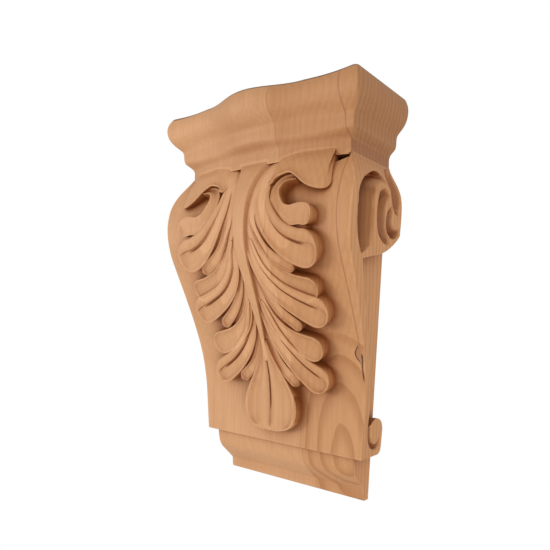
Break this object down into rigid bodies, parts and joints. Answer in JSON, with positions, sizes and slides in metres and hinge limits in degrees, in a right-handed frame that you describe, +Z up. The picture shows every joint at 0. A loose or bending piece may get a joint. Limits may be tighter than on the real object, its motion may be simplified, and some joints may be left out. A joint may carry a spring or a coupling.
{
  "type": "carved wooden corbel bracket",
  "caption": "Carved hardwood corbel bracket with a serpentine moulded crown, side scrolls and an acanthus leaf, fixed by its flat back under a shelf or beam.",
  "frame": {"origin": "centre of the flat back face, half-way up, on the wall plane", "axes": "+Z up, +Y towards the wall, +X to the right as seen from the front"},
  "size_m": [0.2074, 0.0957, 0.33],
  "materials": {
    "cherry_wood": "sanded, unfinished"
  },
  "bodies": {
    "root": {"corbel": "cherry_wood"}
  },
  "joints": []
}
